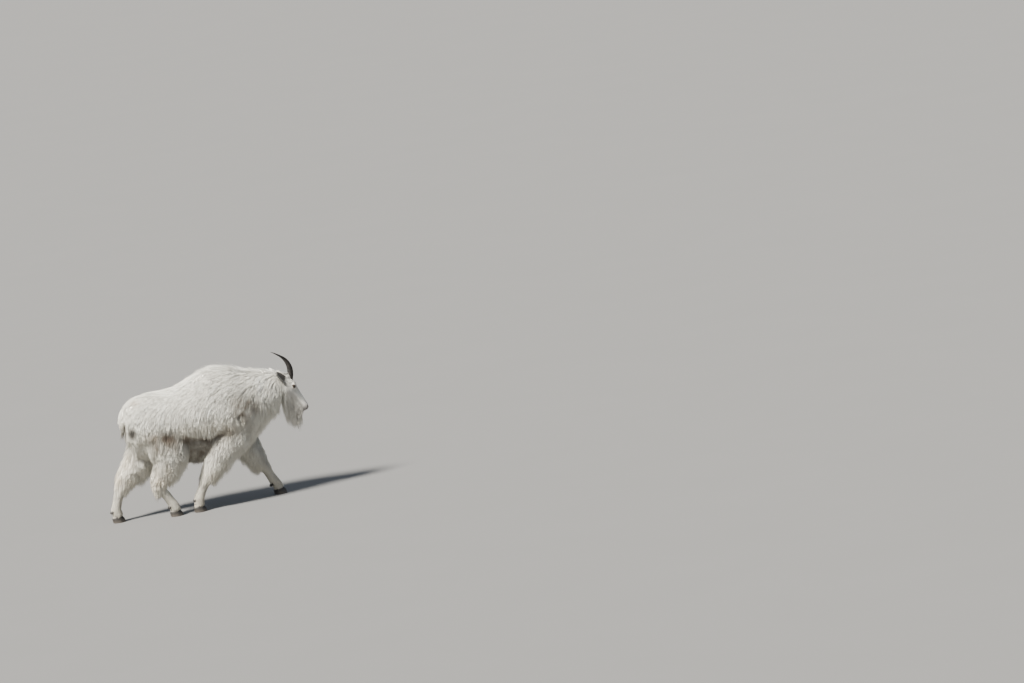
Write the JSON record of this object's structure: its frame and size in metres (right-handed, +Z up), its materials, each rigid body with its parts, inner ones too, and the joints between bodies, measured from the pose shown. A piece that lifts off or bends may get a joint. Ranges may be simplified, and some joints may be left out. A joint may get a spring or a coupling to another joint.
{
  "type": "mountain goat",
  "caption": "Life-size walking mountain goat with a long shaggy pale coat, a hump at the withers, a beard and slim dark horns.",
  "frame": {"origin": "on the floor, under the middle of the animal's bounding box", "axes": "+X towards the head, +Y to the goat's left, +Z up from the floor"},
  "size_m": [1.4322, 0.4324, 0.9627],
  "materials": {
    "coat": "matt, long shaggy hair",
    "face": "matt, short hair",
    "horn": "dark keratin, slightly shiny",
    "hoof": "dark keratin, worn",
    "eye": "wet and shiny"
  },
  "bodies": {
    "root": {"torso": "coat", "neck": "coat", "head": "face", "tail": "coat", "ear_left": "face", "ear_right": "face", "eye_left": "eye", "eye_right": "eye", "horn_left": "horn", "horn_right": "horn", "leg_front_left": "coat", "leg_front_right": "coat", "leg_hind_left": "coat", "leg_hind_right": "coat", "shank_hind_right": "coat", "shank_hind_left": "coat", "hoof_front_left_inner": "hoof", "hoof_front_left_outer": "hoof", "hoof_front_right_inner": "hoof", "hoof_front_right_outer": "hoof", "hoof_hind_left_inner": "hoof", "hoof_hind_left_outer": "hoof", "hoof_hind_right_inner": "hoof", "hoof_hind_right_outer": "hoof", "dewclaw_front_left_inner": "hoof", "dewclaw_front_left_outer": "hoof", "dewclaw_front_right_inner": "hoof", "dewclaw_front_right_outer": "hoof", "dewclaw_hind_left_inner": "hoof", "dewclaw_hind_left_outer": "hoof", "dewclaw_hind_right_inner": "hoof", "dewclaw_hind_right_outer": "hoof"}
  },
  "joints": []
}
